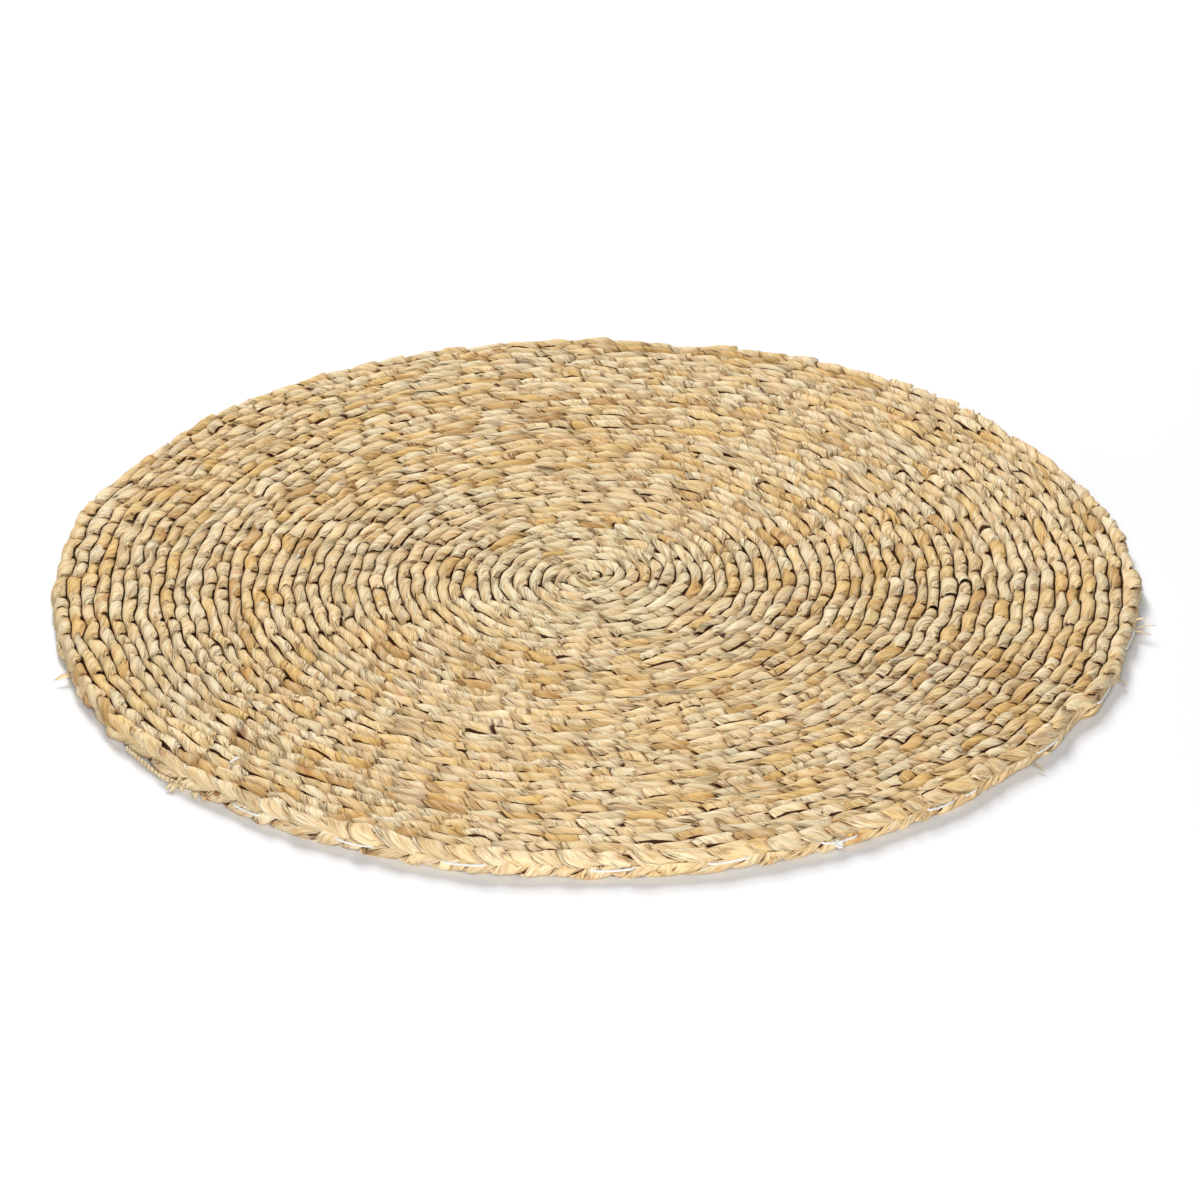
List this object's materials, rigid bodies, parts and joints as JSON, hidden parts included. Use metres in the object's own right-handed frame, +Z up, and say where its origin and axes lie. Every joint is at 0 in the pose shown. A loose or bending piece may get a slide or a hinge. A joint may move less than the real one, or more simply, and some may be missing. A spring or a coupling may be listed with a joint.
{
  "type": "round plaited placemat",
  "caption": "Round flat placemat made of a dried-leaf plait coiled on its edge and sewn turn to turn.",
  "frame": {"origin": "middle of the underside, on the surface that the mat lies on", "axes": "+Z up through the mat's thickness; the picture's view looks along +Y; the coil runs outwards counter-clockwise seen from +Z"},
  "size_m": [0.3812, 0.3794, 0.009],
  "materials": {
    "dried_leaf": "matt dried leaf, pale straw with tan streaks",
    "thread": "white sewing thread"
  },
  "bodies": {
    "root": {"coiled_plait": "dried_leaf"}
  },
  "joints": []
}
